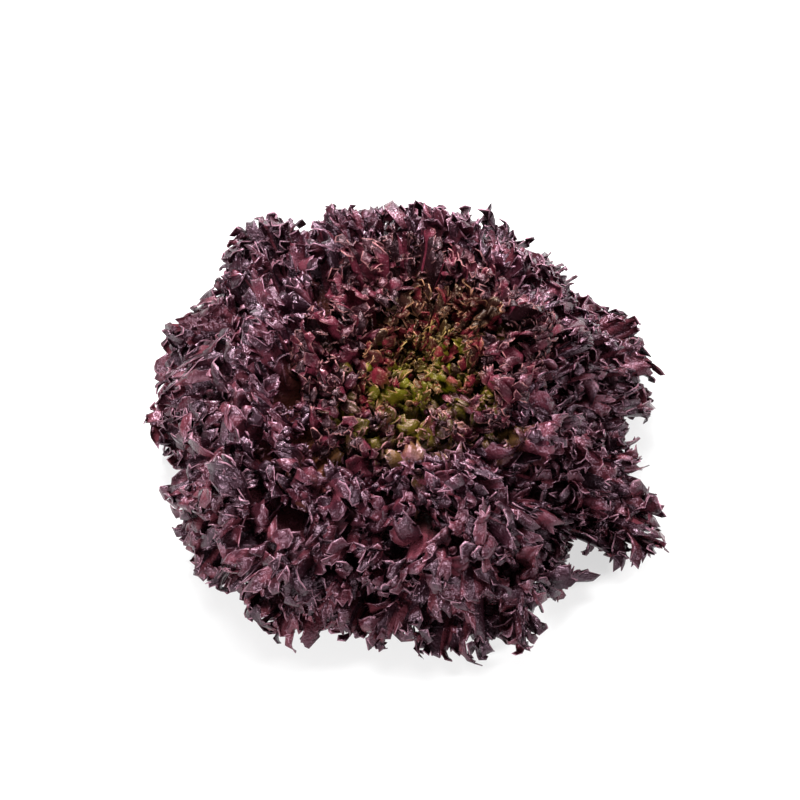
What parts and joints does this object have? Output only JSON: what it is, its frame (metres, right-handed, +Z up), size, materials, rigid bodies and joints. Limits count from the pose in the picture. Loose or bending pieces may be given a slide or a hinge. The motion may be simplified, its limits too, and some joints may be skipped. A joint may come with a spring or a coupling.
{
  "type": "red leaf lettuce",
  "caption": "Head of red leaf lettuce with frilled, lobed leaves in whorls round a short cut stem, resting flat.",
  "frame": {"origin": "middle of the stem's flat cut face, in the plane of the table", "axes": "+Z up along the stem, away from the cut face; -Y towards the viewer of the picture, +X to the viewer's right"},
  "size_m": [0.2498, 0.2549, 0.1004],
  "materials": {
    "cut_stem": "moist pale cut stem",
    "outer_leaf": "satin, waxy leaf",
    "lower_leaf": "satin, waxy leaf",
    "upper_leaf": "satin, waxy leaf",
    "middle_leaf": "satin, waxy leaf",
    "inner_leaf": "satin, waxy leaf",
    "heart_leaf": "satin, waxy leaf"
  },
  "bodies": {
    "root": {"stem": "cut_stem", "outer_leaf_01": "outer_leaf", "outer_leaf_02": "outer_leaf", "outer_leaf_03": "outer_leaf", "outer_leaf_04": "outer_leaf", "outer_leaf_05": "outer_leaf", "outer_leaf_06": "outer_leaf", "outer_leaf_07": "outer_leaf", "outer_leaf_08": "outer_leaf", "outer_leaf_09": "outer_leaf", "outer_leaf_10": "outer_leaf", "outer_leaf_11": "outer_leaf", "outer_leaf_12": "outer_leaf", "lower_leaf_01": "lower_leaf", "lower_leaf_02": "lower_leaf", "lower_leaf_03": "lower_leaf", "lower_leaf_04": "lower_leaf", "lower_leaf_05": "lower_leaf", "lower_leaf_06": "lower_leaf", "lower_leaf_07": "lower_leaf", "lower_leaf_08": "lower_leaf", "lower_leaf_09": "lower_leaf", "lower_leaf_10": "lower_leaf", "upper_leaf_01": "upper_leaf", "upper_leaf_02": "upper_leaf", "upper_leaf_03": "upper_leaf", "upper_leaf_04": "upper_leaf", "upper_leaf_05": "upper_leaf", "upper_leaf_06": "upper_leaf", "upper_leaf_07": "upper_leaf", "upper_leaf_08": "upper_leaf", "middle_leaf_01": "middle_leaf", "middle_leaf_02": "middle_leaf", "middle_leaf_03": "middle_leaf", "middle_leaf_04": "middle_leaf", "middle_leaf_05": "middle_leaf", "middle_leaf_06": "middle_leaf", "inner_leaf_01": "inner_leaf", "inner_leaf_02": "inner_leaf", "inner_leaf_03": "inner_leaf", "inner_leaf_04": "inner_leaf", "heart_leaf_01": "heart_leaf", "heart_leaf_02": "heart_leaf", "heart_leaf_03": "heart_leaf"}
  },
  "joints": []
}
